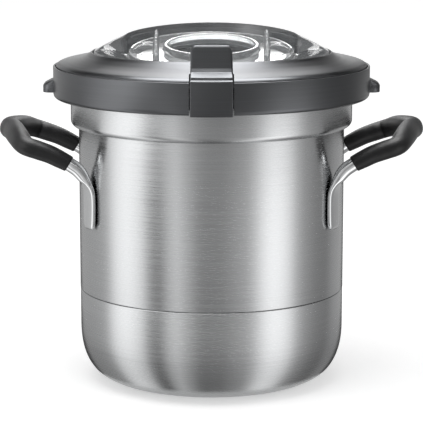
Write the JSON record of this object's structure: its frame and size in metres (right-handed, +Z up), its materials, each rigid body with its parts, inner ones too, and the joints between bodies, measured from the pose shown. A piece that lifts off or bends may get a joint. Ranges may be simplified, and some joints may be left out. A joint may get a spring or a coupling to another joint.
{
  "type": "cooking bowl with latched lid and blades",
  "caption": "Stainless steel cooking bowl with side handles, a latched lid with a sighting window and lift-out filler cap, and blades on a drive shaft through its floor.",
  "frame": {"origin": "middle of the footprint, on the surface that the bowl stands on", "axes": "+Z up, +X through the right-hand handle, and the latch is at the front, towards -Y"},
  "size_m": [0.307, 0.2282, 0.2553],
  "materials": {
    "steel": "satin brushed",
    "aluminium": "cast, matt",
    "hardware": "bright zinc",
    "black_plastic": "fine grain",
    "black_rubber": "matt",
    "grip": "soft-touch, matt",
    "lid": "satin, dark grey",
    "window": "smoky and see-through",
    "seal": "translucent silicone",
    "clear": "clear"
  },
  "bodies": {
    "bowl": {"bowl_shell": "steel", "base_skirt": "steel", "heat_plate": "aluminium", "base_cover": "black_plastic", "bearing_housing": "steel", "housing_nut": "hardware", "lower_bearing": "hardware", "upper_bearing": "hardware", "shaft_seal": "black_rubber", "handle_bracket_right": "steel", "handle_bracket_left": "steel", "handle_grip_right": "grip", "handle_grip_left": "grip", "foot_pad_1": "black_rubber", "foot_pad_2": "black_rubber", "foot_pad_3": "black_rubber", "foot_pad_4": "black_rubber", "base_screw_1": "hardware", "base_screw_2": "hardware", "base_screw_3": "hardware", "base_screw_4": "hardware"},
    "drive": {"drive_shaft": "steel", "drive_coupling": "black_plastic", "retaining_clip": "hardware"},
    "blades": {"blade_hub": "black_plastic", "lower_blades": "steel", "upper_blades": "steel"},
    "lid": {"lid_ring": "lid", "lid_top_ring": "lid", "lid_window": "window", "lid_seal": "seal", "cap_seal": "seal", "latch_pin": "steel", "latch_spring": "hardware"},
    "latch": {"latch_lever": "lid"},
    "cap": {"filler_cap": "clear"}
  },
  "joints": [
    {"name": "drive_spin", "type": "hinge", "parent": "bowl", "child": "drive", "pos_m": [0, 0, 0], "axis": [0, 0, 1], "continuous": true},
    {"name": "blade_lift", "type": "slide", "parent": "drive", "child": "blades", "axis": [0, 0, 1], "range_m": [0, 0.1]},
    {"name": "lid_lift", "type": "slide", "parent": "bowl", "child": "lid", "axis": [0, 0, 1], "range_m": [0, 0.12]},
    {"name": "latch_swing", "type": "hinge", "parent": "lid", "child": "latch", "pos_m": [0, -0.10765, 0.2255], "axis": [-1, 0, 0], "range_deg": [-3, 14], "stiffness_Nm_per_rad": 0.15},
    {"name": "cap_lift", "type": "slide", "parent": "lid", "child": "cap", "axis": [0, -0.1288, 0.9917], "range_m": [0, 0.07]}
  ]
}
